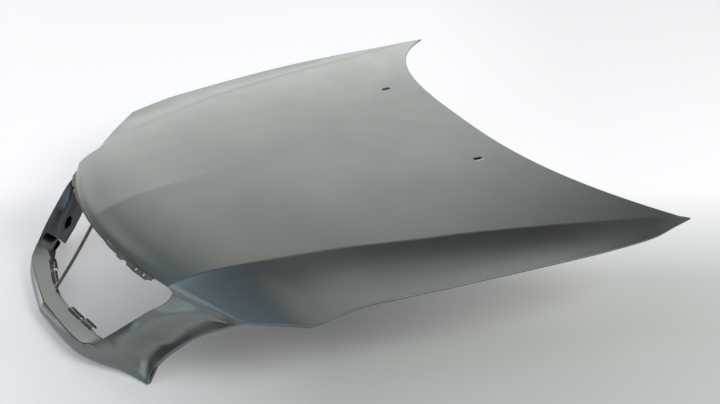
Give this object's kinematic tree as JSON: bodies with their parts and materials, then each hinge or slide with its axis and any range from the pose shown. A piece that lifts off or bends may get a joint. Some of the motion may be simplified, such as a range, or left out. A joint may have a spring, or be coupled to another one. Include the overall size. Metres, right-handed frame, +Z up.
{
  "type": "car bonnet",
  "caption": "Pressed steel car bonnet with a grille opening and headlamp cut-outs in its nose, creased top panel, hemmed inner frame, latch and hinge plates.",
  "frame": {"origin": "on the floor under the middle of the panel's bounding box, at the height of the two nose tips", "axes": "+Z up with the panel as fitted, -Y towards the front of the car, +X towards the car's left side"},
  "size_m": [1.544, 1.4689, 0.369],
  "materials": {
    "primer": "satin grey primer",
    "inner_primer": "thin dark grey dip primer",
    "bracket": "dull olive grey dip primer",
    "clip": "black coated spring steel",
    "mastic": "matte mastic",
    "zinc": "zinc plated"
  },
  "bodies": {
    "root": {"outer_skin": "primer", "inner_frame": "inner_primer", "nose_channel": "inner_primer", "grille_top_strip": "bracket", "centre_brace": "bracket", "latch_plate": "inner_primer", "latch_nut_left": "zinc", "latch_nut_right": "zinc", "pillar_panel_left": "inner_primer", "hinge_plate_left": "inner_primer", "grille_clip_inner_left": "clip", "grille_clip_outer_left": "clip", "hinge_nut_left_front": "zinc", "hinge_nut_left_rear": "zinc", "mastic_bead_left_1": "mastic", "mastic_bead_left_2": "mastic", "mastic_bead_left_3": "mastic", "pillar_panel_right": "inner_primer", "hinge_plate_right": "inner_primer", "grille_clip_inner_right": "clip", "grille_clip_outer_right": "clip", "hinge_nut_right_front": "zinc", "hinge_nut_right_rear": "zinc", "mastic_bead_right_1": "mastic", "mastic_bead_right_2": "mastic", "mastic_bead_right_3": "mastic"}
  },
  "joints": []
}
